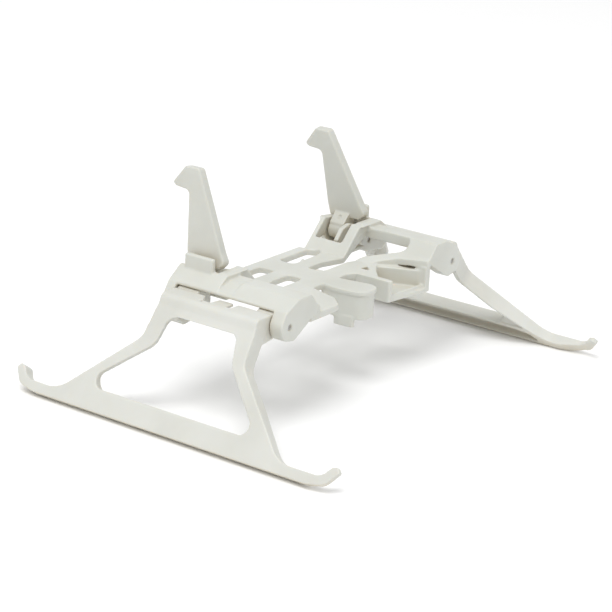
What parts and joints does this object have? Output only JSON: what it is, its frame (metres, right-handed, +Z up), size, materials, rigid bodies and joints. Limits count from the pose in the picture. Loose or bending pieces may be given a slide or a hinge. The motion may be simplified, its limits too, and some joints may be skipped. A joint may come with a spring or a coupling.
{
  "type": "drone landing gear",
  "caption": "Clip-on landing gear for a small camera drone: a plate with folding skid legs and hinged hooks that close over the drone's body.",
  "frame": {"origin": "on the ground plane under the middle of the part, between the two skids", "axes": "+Z up, +Y towards the noses of the hooks (rear), +X across the part from the left leg to the right leg"},
  "size_m": [0.1392, 0.1096, 0.0627],
  "materials": {
    "frame_plastic": "fine satin moulded",
    "leg_plastic": "fine satin moulded",
    "hook_plastic": "fine satin moulded",
    "pin_steel": "plain cut pin"
  },
  "bodies": {
    "frame": {"base_frame": "frame_plastic", "left_leg_front_pin": "pin_steel", "left_leg_rear_pin": "pin_steel", "right_leg_front_pin": "pin_steel", "right_leg_rear_pin": "pin_steel", "left_hook_pin": "pin_steel", "right_hook_pin": "pin_steel"},
    "left_leg": {"left_leg": "leg_plastic"},
    "right_leg": {"right_leg": "leg_plastic"},
    "left_hook": {"left_hook": "hook_plastic"},
    "right_hook": {"right_hook": "hook_plastic"}
  },
  "joints": [
    {"name": "right_leg_fold", "type": "hinge", "parent": "frame", "child": "right_leg", "pos_m": [0.04, 0, 0.0286], "axis": [0, 1, 0], "range_deg": [0, 105]},
    {"name": "left_leg_fold", "type": "hinge", "parent": "frame", "child": "left_leg", "pos_m": [-0.04, 0, 0.0286], "axis": [0, -1, 0], "range_deg": [0, 105]},
    {"name": "right_hook_fold", "type": "hinge", "parent": "frame", "child": "right_hook", "pos_m": [0.0312, 0.016, 0.0326], "axis": [0, -1, 0], "range_deg": [0, 38]},
    {"name": "left_hook_fold", "type": "hinge", "parent": "frame", "child": "left_hook", "pos_m": [-0.0312, 0.016, 0.0326], "axis": [0, 1, 0], "range_deg": [0, 38]}
  ]
}
